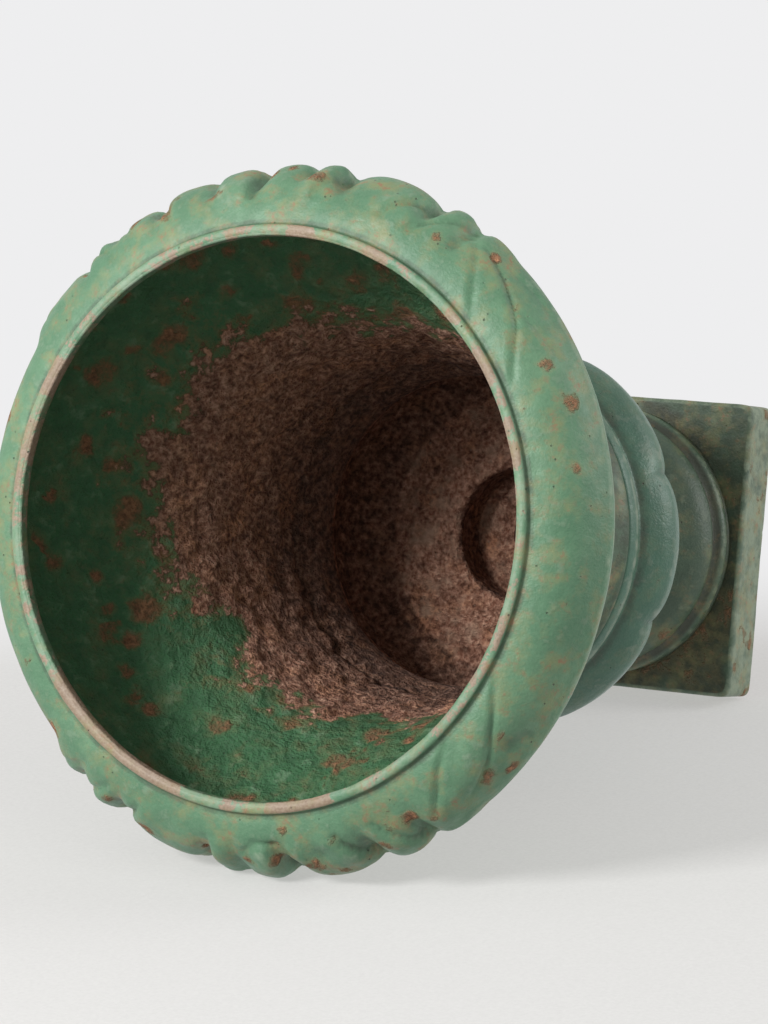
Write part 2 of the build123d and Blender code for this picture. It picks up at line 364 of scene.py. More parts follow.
    # Pin-holes of the casting, about 1 mm across and 7 mm apart, show through the paint as dark dots.
    holes = node(tree, "TexVoronoi", {"Vector": place, "Scale": 1 / (7 * MM)}, feature="F1")
    pin = node(tree, "MapRange", {0: holes.outputs["Distance"], 1: 0.10, 2: 0.05}).outputs[0]
    some = node(tree, "MapRange", {0: patches(tree, place, 30, 0.45, 0.6), 1: 0.0, 2: 1.0}).outputs[0]
    pin = summed(tree, pin, some, "MULTIPLY")
    colour = blended(tree, summed(tree, pin, 0.7, "MULTIPLY"), colour, "#2A241B")

    # Relief: satin pebble on the paint, crumbly scale on the rust, all from real depths.
    skin = summed(tree, summed(tree, mottle, 0.25, "MULTIPLY"), summed(tree, grain, 0.10, "MULTIPLY"))
    rough_skin = summed(tree, summed(tree, lump, 1.1, "MULTIPLY"), summed(tree, crumb, 0.4, "MULTIPLY"))
    peel = summed(tree, summed(tree, mottle, inside, "MULTIPLY"), summed(tree, ragged, inside, "MULTIPLY"))
    height = summed(tree, skin, summed(tree, peel, 1.9, "MULTIPLY"))
    bare_height = summed(tree, rough_skin, summed(tree, bare, core, "MAXIMUM"), "MULTIPLY")
    bare_height = summed(tree, bare_height, 1.5, "MULTIPLY")
    height = summed(tree, height, bare_height)
    height = summed(tree, height, summed(tree, pin, 0.6, "MULTIPLY"), "SUBTRACT")
    relief = node(tree, "Bump", {"Strength": 1.0, "Distance": 1.1 * MM, "Height": height})
    matt = summed(tree, bare, core, "MAXIMUM")
    rough = node(tree, "MapRange", {0: matt, 1: 0.0, 2: 1.0, 3: gloss, 4: 0.93}).outputs[0]
    rough = summed(tree, rough, summed(tree, mottle, 0.12, "MULTIPLY"))
    shader = node(
        tree,
        "BsdfPrincipled",
        {"Base Color": colour, "Roughness": rough, "IOR": 1.5, "Normal": relief.outputs[0]},
    )
    node(tree, "OutputMaterial", {"Surface": shader.outputs[0]})
    return material


sage_enamel = weathered_enamel(
    "sage_enamel_on_cast_iron",
    ("#507C5C", "#6A916F", "#416A4D"),
    ("#33663F", "#457E50", "#224A30"),
    "#94A88E",
    0.46,
    0.7,
)
pine_enamel = weathered_enamel(
    "pine_enamel_on_cast_iron",
    ("#3A6450", "#48745D", "#315644"),
    ("#33663F", "#457E50", "#224A30"),
    "#8E9B8A",
    0.34,
    0.15,
)
olive_enamel = weathered_enamel(
    "olive_enamel_on_cast_iron",
    ("#354B38", "#425C46", "#2B3B2C"),
    ("#3B4534", "#4A4A36", "#33302A"),
    "#84927A",
    0.42,
    0.4,
)
moss_enamel = weathered_enamel(
    "moss_enamel_on_cast_iron",
    ("#3A4F3D", "#4C634D", "#303D2F"),
    ("#3B4534", "#4A4A36", "#33302A"),
    "#8F9C84",
    0.5,
    0.6,
)


def rusted_steel():
    """Black-oxide steel studding and nuts, rusted through. No bright metal is left, so it is matt and not
    metallic: brown scale of 2 mm crumbs with orange dust."""
    material = bpy.data.materials.new("rusted_mild_steel")
    material.use_nodes = True
    tree = material.node_tree
    tree.nodes.clear()
    place = node(tree, "TexCoord").outputs["Object"]
    crumb = patches(tree, place, 2, 0.3, 0.7, detail=6, rough=0.7)
    dust = patches(tree, place, 9, 0.45, 0.7)
    colour = blended(tree, crumb, "#2A1C17", "#5C3A2B")
    colour = blended(tree, summed(tree, dust, crumb, "MULTIPLY"), colour, "#9A5A38")
    relief = node(tree, "Bump", {"Strength": 1.0, "Distance": 0.5 * MM, "Height": crumb})
    rough = node(tree, "MapRange", {0: crumb, 1: 0.0, 2: 1.0, 3: 0.8, 4: 0.95}).outputs[0]
    shader = node(
        tree,
        "BsdfPrincipled",
        {"Base Color": colour, "Roughness": rough, "IOR": 1.5, "Normal": relief.outputs[0]},
    )
    node(tree, "OutputMaterial", {"Surface": shader.outputs[0]})
    return material


steel = rusted_steel()


# ---------------------------------------------------------------- upper bowl

rim_z = mouth_top - 36
spigot_radius = 101.0
spigot_bore = 94.6
rebate_radius = 101.4
rim_middle = 184.0  # radius halfway across the rolled rim
rim_length = 50.5  # along the rolled rim from lip to edge
groove = (164.7, mouth_top - 4.0)
lip_inner = 157.0
lip_outer = 163.2
ovolo_middle = (187.5, mouth_top - 14.2)
hollow_edge = (191.0, rim_z - 4)
throat = (spigot_radius, collar_seat + 32)
flare = [throat, (109.1, 309.7), (119.9, 351.0), (139.7, 381.6), (162.2, 403.1), hollow_edge]
neck = (107.0, collar_seat + 19.2)
outer_edge = (rim_reach - 3, rim_z - 8)
outer_flare = [neck, (115.0, 308.6), (125.0, 348.2), (144.0, 377.0), (166.2, 398.7), outer_edge]
upper = Profile(
    spigot=drawn([(spigot_radius, spigot_bottom), (spigot_radius, collar_seat)], 4),
    shoulder=drawn([(spigot_radius, collar_seat + 0.1), (109.5, collar_seat + 0.1)], 4),
    neck_foot=bowed((109.5, collar_seat + 0.4), (109.9, collar_seat + 3), (109.2, collar_seat + 5), 4),
    neck=drawn([(109.0, collar_seat + 5.4), (107.5, collar_seat + 10.7), neck], 6),
    flare_back=drawn(outer_flare, 26),
    under_rim=drawn([outer_edge, (rim_reach - rim_skin, rim_z)], 4),
    ovolo=bowed((rim_reach - rim_skin, rim_z), ovolo_middle, groove, 38),
    lip_outside=drawn([groove, (163.6, mouth_top - 3.7), (lip_outer, mouth_top - 1.0)], 4),
    lip=bowed((162.8, mouth_top - 0.7), (160.0, mouth_top - 0.02), (157.5, mouth_top - 0.8), 7),
    lip_inside=drawn([(lip_inner, mouth_top - 1.6), (lip_inner, mouth_top - 7.5), (160.5, mouth_top - 9)], 6),
    roll=bowed((161, mouth_top - 9.2), (183.9, mouth_top - 19), hollow_edge, 12),
    flare=drawn(flare[::-1], 66),
    step=drawn([throat, (103, collar_seat + 30), (rebate_radius, collar_seat + 28)], 5),
    ring=drawn(
        [(spigot_radius, collar_seat + 28), (spigot_bore, collar_seat + 3), (spigot_bore, spigot_bottom)], 11
    ),
    spigot_end=drawn([(spigot_bore, spigot_bottom), (spigot_radius, spigot_bottom)], 2),
)

# Notches between the leaf tips on the rim's edge: angle in degrees and depth. Each spray is set out alone.
top_notches = [(50, 1.5), (58, 8.5), (65.7, 9.5), (83.3, 11), (90, 4.5), (99, 11), (108.5, 4.5), (119.5, 10)]
top_notches += [(129, 6), (136, 8), (152, 3.5)]
bottom_notches = [(226, 3.5), (233.5, 8.5), (242.5, 10), (261.5, 10), (268, 4), (277, 12), (293.5, 11)]
bottom_notches += [(303.3, 9), (313, 1.5)]


def leaf_edge(angle):
    """How deep the edge is cut at each angle. In a spray it is full at a notch and none at the leaf tip
    between two, along the curve 1 - (1 - |2u - 1|^2.4)^(1/2.4), u the share of the way from notch to notch.
    Between the sprays the plain edge lies a little inside the tips. Three rows are averaged so that no step
    is sharp."""
    cut = np.where((angle > 150) & (angle < 230), 3.5, 1.5)
    for notches in (top_notches, bottom_notches):
        for (start, deep), (end, deeper) in zip(notches, notches[1:]):
            u = (angle - start) / (end - start)
            tip = 1 - (1 - np.clip(np.abs(2 * u - 1), 0, 1) ** 2.4) ** (1 / 2.4)
            cut = np.where((u >= 0) & (u < 1), (deep * (1 - u) + deeper * u) * tip, cut)
    return (np.roll(cut, 1, 0) + cut + np.roll(cut, -1, 0)) / 3


def crease(angle, share, path, deep, lift, width=2.2, side=1.0):
    """A leaf blade's edge along a path of (angle, share) points: a narrow bell-shaped groove, and on one side
    of it a soft swell that falls away by e^(-distance / 7 mm). Distances are taken on the rim laid flat."""
    across, down = rim_middle * math.pi / 180, rim_length
    p = np.stack([angle * across, share * down], -1)
    q = np.array(path, float) * (across, down)
    nearest = np.full(p.shape[:-1], 1e9)
    signed = np.zeros(p.shape[:-1])
    ends = np.zeros(p.shape[:-1])
    for k, (a, b) in enumerate(zip(q, q[1:])):
        run = b - a
        t = np.clip(((p - a) @ run) / (run @ run), 0, 1)
        gap = p - (a + t[..., None] * run)
        away = np.linalg.norm(gap, axis=-1)
        closer = away < nearest
        nearest = np.where(closer, away, nearest)
        signed = np.where(closer, np.sign(run[0] * gap[..., 1] - run[1] * gap[..., 0]), signed)
        ends = np.where(closer, (k + t) / (len(q) - 1), ends)
    fade = np.sqrt(np.clip(4 * ends * (1 - ends), 0, 1)) ** 0.6
    swell = lift * np.exp(-nearest / 7) * (signed * side > 0) * np.clip(nearest / 1.5, 0, 1)
    return fade * (swell - deep * np.exp(-((nearest / width) ** 2)))


def dent(angle, share, at, deep, width, tall):
    """A round hollow, or a boss where deep is negative, that falls off as a bell curve."""
    u = (angle - at[0]) * rim_middle * math.pi / 180 / width
    v = (share - at[1]) * rim_length / tall
    return -deep * np.exp(-(u**2) - v**2)


def leaf_relief(angle, share, cut):
    """The leaf sprays on the rolled rim, as height over its plain face: the sum of the edge's cut, creases and
    dents. share is 0 at the lip and 1 at the edge."""
    puff = ease(share, 0.15, 0.7)
    height = -0.8 * cut * puff * ease(share, 1.3, 0.8)
    for notches in (top_notches, bottom_notches):
        middle = (notches[0][0] + notches[-1][0]) / 2
        for at, deep in notches:
            slant = 0.16 * (middle - at)
            path = [(at, 0.98), (at + 0.5 * slant, 0.75), (at + slant, 0.5), (at + 1.3 * slant, 0.3)]
            side = np.sign(middle - at + 0.1)
            height = height + 0.16 * deep * crease(angle, share, path, 1.6, 1.4, 3.0, side)
    for path in (
        [(57.5, 0.8), (52, 0.42), (48.5, 0.2), (45.5, 0.04)],
        [(306.5, 0.62), (312.5, 0.24), (317.5, 0.03)],
    ):
        height = height + crease(angle, share, path, 1.5, 1.3, side=1 if path[0][0] < 180 else -1)
    for path in (
        [(54.5, 0.72), (48, 0.62), (43.5, 0.5), (39.5, 0.4), (35, 0.22), (29.5, 0.04)],
        [(313.5, 0.72), (320.5, 0.52), (324.5, 0.35), (328.5, 0.22), (333.5, 0.04)],
    ):
        height = height + crease(angle, share, path, 1.6, 1.8, side=1 if path[0][0] < 180 else -1)
    height = height + crease(angle, share, [(43, 0.5), (37.5, 0.58), (31, 0.7)], 0.7, 0.6)
    height = height + crease(angle, share, [(49, 0.8), (43, 0.9), (38, 0.9)], 0.5, 0.8, side=-1)
    height = height + crease(angle, share, [(311, 0.6), (318.5, 0.32), (327, 0.08)], -0.9, 0, width=5)
    curl = [(272, 0.62), (270, 0.45), (273, 0.32), (277, 0.33), (279, 0.5)]
    height = height + crease(angle, share, curl, 1.6, 0)
    height = height + crease(angle, share, [(279.5, 0.35), (281.5, 0.75)], -1.2, 0, width=3)
    for at, deep, width, tall in (
        ((274.3, 0.62), -2.4, 9, 12),
        ((284, 0.5), 1.6, 7, 9),
        ((324.5, 0.62), 1.5, 6, 8),
        ((328, 0.78), 1.3, 6, 7),
        ((97, 0.5), 1.6, 5, 12),
        ((93, 0.5), 1.0, 5, 9),
        ((60, 0.62), 1.4, 7, 10),
        ((70, 0.5), -1.2, 16, 12),
        ((104, 0.55), -1.3, 9, 11),
        ((119, 0.6), -1.0, 9, 12),
        ((88, 0.6), -1.0, 9, 10),
        ((257, 0.66), -1.0, 10, 12),
        ((290, 0.7), -0.9, 12, 10),
        ((240, 0.7), -0.8, 10, 10),
        ((150, 0.75), -0.7, 10, 8),
    ):
        height = height + dent(angle, share, at, deep, width, tall)
    return height


# Rust stains on the rim: angle in degrees, share of the way from lip to edge, and reach in millimetres.
rim_stains = [(24, 0.62, 9), (13, 0.55, 7), (31, 0.5, 8), (52, 0.75, 6), (61, 0.42, 6), (88, 0.62, 10)]
rim_stains += [(97, 0.75, 9), (107, 0.45, 8), (118, 0.55, 12), (124, 0.65, 9), (318, 0.72, 12), (322, 0.9, 8)]
rim_stains += [(303, 0.5, 8), (296, 0.65, 9), (282, 0.7, 8), (276, 0.6, 7), (262, 0.75, 9), (249, 0.7, 10)]
rim_stains += [(241, 0.6, 8), (225, 0.5, 9), (210, 0.65, 10), (196, 0.5, 9), (181, 0.6, 10), (166, 0.45, 9)]
rim_stains += [(154, 0.7, 9)]

# Where the lip is down to bare primer: angle where a patch starts and ends.
lip_patches = [(83.5, 89.5), (67, 71), (220, 256), (277, 291), (150, 158)]


def make_upper_bowl():
    """The flared casting: the profile swept about the axis, with the leaf sprays, a sand-cast ripple outside
    and orange-peel paint and crumbling rust inside added along the normal."""
    turns = 500
    grid, angle = upper.spun(turns)
    deg = angle + 0 * grid[..., 0]
    inner = upper.on("roll", "flare", "step", "ring")
    back = upper.on("neck_foot", "neck", "flare_back", "under_rim")
    rim = upper.on("ovolo")
    share = 1 - upper.share("ovolo")
    z = grid[..., 2]

    cut = leaf_edge(deg)
    near_edge = np.where(upper.names == "ovolo", ease(share, 0.38, 0.9), 0)
    near_edge = near_edge + upper.on("under_rim") + upper.on("flare_back") * ease(z, rim_z - 34, rim_z - 8)
    behind = upper.on("roll") * ease(upper.points[:, 0], 172, 190)
    behind = behind + upper.on("flare") * ease(z, rim_z - 34, rim_z - 8)
    sideways = -cut * near_edge - np.clip(cut - 2.5, 0, None) * behind
    push = rim * leaf_relief(deg, np.broadcast_to(share, deg.shape), cut) * ease(share, 0.0, 0.08)

    spray = sum(ease(deg, a - 6, a + 4) * ease(deg, b + 6, b - 4) for a, b in ((50, 146), (233, 312)))
    ripple = crumble(grid, 46, 2, 11) * 0.45 + grit(grid, 9, 21) * 0.12
    wrinkles = 1.1 * grit(grid, 17, 24) + 0.45 * grit(grid, 7, 27)
    ripple = ripple + spray * rim * ease(share, 0.1, 0.4) * wrinkles
    push = push + (rim * ease(share, 0.0, 0.1) * ease(share, 1.0, 0.9) + back * ease(z, 262, 300)) * ripple

    # The rusted depth of the bowl: its ragged upper edge, by angle.
    edge_angle = [0, 60, 90, 104, 116, 134, 159, 178, 194, 207, 214]
    edge_angle += [219, 226, 243, 256, 262, 267, 275, 290, 320, 360]
    edge_z = [352, 345, 345, 350, 364, 378, 385, 382, 374, 366, 338]
    edge_z += [340, 362, 352, 344, 322, 318, 338, 330, 340, 352]
    edge = np.interp(deg, edge_angle, edge_z) + 15 * crumble(grid, 24, 4, 31)
    rust = inner * np.clip(0.5 + (edge - z) / 70, 0, 1)
    crust = ease(rust, 0.45, 0.7)
    buried = upper.on("step", "ring", "spigot_end", "spigot")
    rust = np.maximum(rust, buried)
    crust = np.maximum(crust, buried)

    ragged_grid = grid + 3.5 * np.stack([crumble(grid, 9, 2, seed) for seed in (35, 36, 37)], -1)
    spot_away, spot_number = scattered(ragged_grid, 22, 41)
    spot_size = 4.5 + 6 * spot_number
    thick = inner * ease(z, edge + 115, edge + 40)
    bloom = ease(spot_away, spot_size * 1.6, spot_size * 0.5) * (spot_number < 0.3 + 0.6 * thick)
    bloom = bloom * ease(thick, 0, 0.25)
    fleck_away, fleck_number = scattered(ragged_grid, 27, 51)
    fleck_size = 2 + 7 * fleck_number
    outside = rim + back
    busy = ease(crumble(grid, 70, 2, 56), -0.5, 0.6)
    bloom = bloom + outside * ease(fleck_away, fleck_size * 1.7, 0) * (fleck_number < 0.25 + 0.6 * busy)
    for at, down, size in rim_stains:
        off = np.hypot((deg - at) * rim_middle * math.pi / 180, (share - down) * rim_length)
        bloom = bloom + rim * ease(off + 3 * grit(grid, 6, 57), size, 0.15 * size)

    granular = crumble(grid, 8, 2, 61)
    pit_away, pit_number = scattered(grid, 9, 71)
    pits = ease(pit_away, 3.4, 0.6) * (pit_number < 0.45)
    peel = 0.9 * crumble(grid, 13, 3, 81) - 1.2 * pits * (1 - crust)
    smooth_ring = upper.on("roll", "flare", "step", "ring") * ease(z, collar_seat + 3, collar_seat + 12)
    push = push + smooth_ring * ((1 - crust) * peel + crust * (2.3 * granular + 0.5))
    push = push - inner * 0.7 * ease(bloom, 0.4, 0.9) * (1 - crust)

    lip_band = upper.on("lip", "lip_inside")
    push = push + lip_band * 0.18 * crumble(grid, 14, 2, 91) * (z < mouth_top - 0.4)

    wear_and_highlight = rim * ease(share, 0.93, 1.0) * 0.5 + upper.on("under_rim") * 0.4 + lip_band * 0.5
    wear_and_highlight = wear_and_highlight + rim * 0.35 * ease(leaf_relief(deg, np.broadcast_to(share, deg.shape), 0 * cut), 0.4, 1.8)
    # Painted shade: darker beside the lip, in the valleys of the leaf relief, down the back under the rim, on
    # both faces of the lip and in the hollow behind it.
    grime_and_shade = rim * (ease(share, 0.06, 0.0) * 0.8 + ease(push, -0.8, -3.0) * 0.5)
    grime_and_shade = grime_and_shade + back * (0.3 + 0.55 * ease(z, 380, 300))
    grime_and_shade = grime_and_shade + upper.on("lip_inside") * 0.4 + upper.on("lip_outside") * 0.6
    grime_and_shade = grime_and_shade + upper.on("roll") * 0.3 * ease(z, rim_z, mouth_top - 12)
    patch = sum(ease(deg, a - 1, a + 1) * ease(deg, b + 1, b - 1) for a, b in lip_patches)
    flecks = 0.3 * crumble(grid, 7, 2, 101) + 0.16 * grit(grid, 60, 103)
    # Painted shade deep in the flare and on the spigot's step and ring.
    grime_and_shade = grime_and_shade + upper.on("flare") * 0.5 * ease(z, 330, 285) + upper.on("step", "ring") * 0.7
    primer = lip_band * (0.44 + flecks + 0.5 * patch)
    rim_edge = rim * ease(share, 0.93, 1.0) + upper.on("under_rim")
    primer = primer + rim_edge * (0.2 + 0.4 * grit(grid, 20, 111))
    inside = inner + 0.5 * upper.on("lip_inside")
    marks = {
        "rust": rust,
        "bloom": np.clip(bloom, 0, 1),
        "wear_and_highlight": np.clip(wear_and_highlight, 0, 1),
        "grime_and_shade": np.clip(grime_and_shade, 0, 1),
        "inside": np.clip(inside, 0, 1),
        "primer": primer,
        "lime": 0 * deg,
    }
    grid = pushed(grid, angle, upper, push, sideways)
    piece = meshed("upper_bowl_casting", grid, marks)
    return ride_with_finish(piece, "upper_bowl", sage_enamel)


# ---------------------------------------------------------------- lower bowl

fillet_z = collar_seat - 15
floor_z = bowl_seat + 33
well_z = bowl_seat + 8
well_radius = 41.6
lower = Profile(
    socket=drawn([(hole_radius, bowl_seat + 3.3), (20.3, bowl_seat + 3.3), (20.3, bowl_seat)], 5),
    underside=drawn([(20.3, bowl_seat), (53.5, bowl_seat)], 8),
    belly=drawn([(54, bowl_seat), (71, 141), (90, 154.5), (104, 170.5), (113.5, 187), (118.4, 199)], 40),
    roll=drawn([(119.3, 204), (118.2, 212), (114.2, 219.5), (108.6, 224.2)], 18),
    fillet=bowed((108.3, fillet_z), (110.9, collar_seat - 8.5), (109.6, collar_seat - 0.2), 9),
    seat=drawn([(109.5, collar_seat - 0.05), (rebate_radius, collar_seat - 0.05)], 3),
    mouth=drawn([(rebate_radius, collar_seat - 0.1), (rebate_radius, fillet_z - 4)], 5),
    wall=drawn(
        [(rebate_radius, fillet_z - 4), (108.6, 214), (112.3, 203), (110.3, 188), (102.5, 175), (86, floor_z)],
        26,
    ),
    floor=drawn([(86, floor_z), (well_radius + 0.4, floor_z)], 24),
    well=drawn([(well_radius, floor_z - 0.6), (well_radius, well_z + 1), (well_radius - 1, well_z)], 12),
    well_floor=drawn([(well_radius - 1.2, well_z), (hole_radius, well_z)], 16),
    hole=drawn([(hole_radius, well_z - 0.2), (hole_radius, bowl_seat + 3.3)], 3),
)


def make_lower_bowl():
    """The gadrooned casting: the profile swept about the axis, its outside carried out into eight flat-topped
    lobes, 1 - |x|^5 across each, that rise and fade along the profile."""
    turns = 512
    grid, angle = lower.spun(turns)
    deg = angle + 0 * grid[..., 0]
    z = grid[..., 2]
    outer = lower.on("belly", "roll")
    x = np.abs(((deg + 22.5) % 45) / 22.5 - 1)
    lobe = 1 - x**5
    rise = ease(z, bowl_seat + 12, bowl_seat + 52) * ease(z, fillet_z - 4, fillet_z - 26)
    push = outer * rise * (3.7 * lobe + 0.5 * (1 - x**2))
    push = push + (outer + lower.on("fillet") * 0.3) * 0.22 * crumble(grid, 30, 2, 12)

    chamber = lower.on("wall", "floor", "well", "well_floor")
    lumps = crumble(grid, 15, 4, 22)
    crust = ease(grit(grid, 34, 32), -0.1, 0.25)
    inner_push = 0.9 * lumps + 1.2 * crust * lower.on("floor") + 0.5 * lower.on("well") * grit(grid, 8, 42)
    keep = ease(z, fillet_z - 6, fillet_z - 14)
    push = push + chamber * keep * inner_push

    dark_away, dark_number = scattered(grid, 30, 52)
    bloom = outer * ease(dark_away, 3.5, 0.5) * (dark_number < 0.12)
    wear_and_highlight = outer * (0.15 * ease(lobe * rise, 0.7, 1.0) + 0.3 * rise * ease(x, 0.97, 0.86) * ease(x, 0.6, 0.86))
    # Painted highlight: a pale line along the fillet's crest.
    fillet_crest = ease(z, fillet_z + 2, fillet_z + 6) * ease(z, fillet_z + 11, fillet_z + 7)
    wear_and_highlight = wear_and_highlight + lower.on("fillet") * 0.8 * fillet_crest
    # Painted shade: darker in the grooves between the lobes, towards the bottom, on the roll under the fillet,
    # and in the mouth, wall and well.
    grime_and_shade = outer * (0.5 * ease(x, 0.88, 1.0) * rise + 0.3 * ease(z, bowl_seat + 30, bowl_seat))
    grime_and_shade = grime_and_shade + lower.on("roll") * ease(z, fillet_z - 7, fillet_z) * 0.8
    grime_and_shade = grime_and_shade + lower.on("mouth", "wall", "well") * 0.6
    unpainted = lower.on("mouth", "wall", "floor", "well", "well_floor", "hole", "socket")
    marks = {
        "rust": unpainted + 0 * deg,
        "bloom": bloom,
        "wear_and_highlight": np.clip(wear_and_highlight, 0, 1),
        "grime_and_shade": np.clip(grime_and_shade, 0, 1),
        "inside": 0 * deg,
        "primer": 0 * deg,
        "lime": lower.on("floor", "well_floor") + 0.3 * lower.on("wall"),
    }
    grid = pushed(grid, angle, lower, push)
    piece = meshed("lower_bowl_casting", grid, marks)
    return ride_with_finish(piece, "lower_bowl", pine_enamel)


# ---------------------------------------------------------------- foot and plinth

foot_base = foot_reach - 7
foot = Profile(
    base=drawn([(foot_base, foot_seat + 0.05), (foot_reach - 1.4, foot_seat + 0.05)], 3),
    band=drawn([(foot_reach - 1.2, foot_seat + 0.5), (foot_reach - 1.2, foot_seat + 2)], 3),
    quirk=drawn([(foot_reach - 1.8, foot_seat + 2.6), (foot_reach - 2.8, foot_seat + 3.3)], 3),
    bead=bowed((foot_reach - 2.4, foot_seat + 3.8), (foot_reach - 0.6, foot_seat + 8), (83.4, 48.6), 16),
    dome=drawn(
        [(81.2, 49.6), (80.6, 51), (82.0, 53.2), (77.2, 63.6), (61.4, 77), (46.2, 94.2), (40, 111)], 42
    ),
    cove=drawn([(40.2, 111.6), (42, 119)], 5),
    collar=bowed((42.4, 119.2), (50, 125), (47, bowl_seat), 10),
    top=drawn([(46.8, bowl_seat - 0.05), (20, bowl_seat - 0.05), (20, boss_top), (hole_radius, boss_top)], 8),
    hole=drawn([(hole_radius, boss_top), (hole_radius, 123)], 3),
    ceiling=drawn(
        [(hole_radius, 123), (31, 123), (33, 121), (38, 100), (47.5, 80), (58.7, 70), (73.3, 57)], 26
    ),
    wall=drawn([(76, 54.5), (foot_base, 46), (foot_base, foot_seat + 0.3)], 8),
)


def make_foot():
    """The waisted foot: its profile swept about the axis, with a sand-cast ripple along the normal."""
    turns = 400
    grid, angle = foot.spun(turns)
    z = grid[..., 2]
    outer = foot.on("band", "bead", "dome", "cove")
    hidden = foot.on("ceiling") * ease(z, 122, 118) + foot.on("wall") * ease(z, foot_seat, foot_seat + 4)
    push = outer * (0.16 * crumble(grid, 24, 2, 13) - 0.16) + hidden * 0.6 * crumble(grid, 12, 3, 23)
    # Painted shade in the groove between the bead and the dome, which also takes a little rust, and in the
    # band, quirk and cove.
    groove_dirt_and_shade = foot.on("dome") * ease(z, 54.5, 51.5) + foot.on("bead") * ease(z, 46.5, 48.5)
    marks = {
        "rust": np.clip(foot.on("ceiling", "wall", "hole", "base") + 0 * z + 0.2 * groove_dirt_and_shade, 0, 1),
        "bloom": foot.on("dome") * 0.5 * ease(grit(grid, 30, 33), 0.35, 0.7),
        "wear_and_highlight": 0.3 * foot.on("bead") * ease(z, 41, 43) * ease(z, 48, 46) + 0.3 * foot.on("collar") + 0 * z,
        "grime_and_shade": np.clip(0.9 * groove_dirt_and_shade + foot.on("band", "quirk", "cove") * 0.6 + 0 * z, 0, 1),
        "inside": 0 * z,
        "primer": 0 * z,
        "lime": 0 * z,
    }
    piece = meshed("foot_casting", pushed(grid, angle, foot, push), marks)
    return ride_with_finish(piece, "foot", olive_enamel)


deck_z = foot_seat - 8
plinth_inside = plinth_half - 7
plinth_side = plinth_half - 0.3
pilot_outer, pilot_inner = 80.7, 74.7
plinth = Profile(
    side=drawn([(plinth_side, ground + 1.2), (plinth_side, foot_seat - 3)], 16),
    edge=bowed(
        (plinth_side, foot_seat - 2.8), (plinth_half - 1.1, foot_seat - 0.9), (plinth_half - 3, foot_seat), 7
    ),
    top=drawn([(plinth_half - 3.3, foot_seat), (foot_base + 0.2, foot_seat)], 26),
    pilot=drawn(
        [
            (pilot_outer, foot_seat + 0.3),
            (pilot_outer, pilot_top),
            (pilot_inner, pilot_top),
            (pilot_inner, foot_seat),
        ],
        8,
    ),
    deck=drawn([(74.5, foot_seat), (hole_radius, foot_seat)], 8),
    hole=drawn([(hole_radius, foot_seat - 0.2), (hole_radius, deck_z)], 3),
    ceiling=drawn([(hole_radius, deck_z), (plinth_inside - 2, deck_z)], 24),
    corner=bowed(
        (plinth_inside - 1.8, deck_z), (plinth_inside - 0.5, deck_z - 0.6), (plinth_inside, deck_z - 2), 3
    ),
    wall=drawn([(plinth_inside, deck_z - 2.2), (plinth_inside, ground + 1)], 12),
    underside=drawn([(plinth_inside + 0.4, ground), (plinth_half - 1.2, ground)], 4),
)


def make_plinth():
    """The hollow square cap: each loop point is carried round a squircle, 1 / (|cos|^p + |sin|^p)^(1/p), and
    its decks are blended from that square to the round pilot and rod hole."""
    turns = 560
    corners = 34.0
    angle = FULL_TURN * np.arange(turns)[:, None] / turns
    square = 1 / (np.abs(np.cos(angle)) ** corners + np.abs(np.sin(angle)) ** corners) ** (1 / corners)
    squareness = plinth.on("side", "edge", "corner", "wall", "underside")
    squareness = squareness + plinth.on("top") * (1 - plinth.share("top"))
    squareness = squareness + plinth.on("ceiling") * ease(plinth.share("ceiling"), 0.1, 0.95)
    grid, degrees = plinth.spun(turns, squareness * square + 1 - squareness)
    z = grid[..., 2]
    beyond = np.linalg.norm(grid[..., :2], axis=-1)
    shown = plinth.on("side", "edge", "top")
    push = shown * (0.25 * crumble(grid, 22, 3, 14) - 0.3)
    push = push + plinth.on("ceiling", "wall") * 0.5 * crumble(grid, 11, 3, 24)
    pit_away, pit_number = scattered(grid, 16, 34)
    push = push - plinth.on("side") * 0.7 * ease(pit_away, 3.2, 0.5) * (pit_number < 0.4)
    top = plinth.on("top")
    # Darker over the whole top, with patches that gather towards -y and a stain round the foot; the sides are
    # paler all over and at the edge.
    halo = top * ease(beyond, foot_reach + 14, foot_reach + 1) * (0.55 + 0.5 * crumble(grid, 12, 2, 44))
    stain = plinth.on("side") * ease(crumble(grid, 15, 3, 54), 0.1, 0.9)
    patch = top * ease(crumble(grid, 34, 3, 64) - 0.004 * grid[..., 1], 0.05, 0.8)
    marks = {
        "rust": plinth.on("ceiling", "wall", "hole", "underside", "deck", "pilot", "corner") + 0.22 * stain,
        "bloom": np.clip(0.75 * stain + 0.3 * patch + 0.25 * halo, 0, 1),
        "wear_and_highlight": np.clip(plinth.on("edge") * 0.45 + plinth.on("side") * 0.7 + 0 * z, 0, 1),
        "grime_and_shade": np.clip(0.9 * halo + top * 0.35 + 0.55 * patch, 0, 1),
        "inside": 0 * z,
        "primer": plinth.on("edge", "side") * (0.12 + 0.4 * grit(grid, 14, 74)) + 0 * z,
        "lime": 0 * z,
    }
    piece = meshed("plinth_casting", pushed(grid, degrees, plinth, push), marks)
    return ride_with_finish(piece, "plinth", moss_enamel)


# ---------------------------------------------------------------- rod


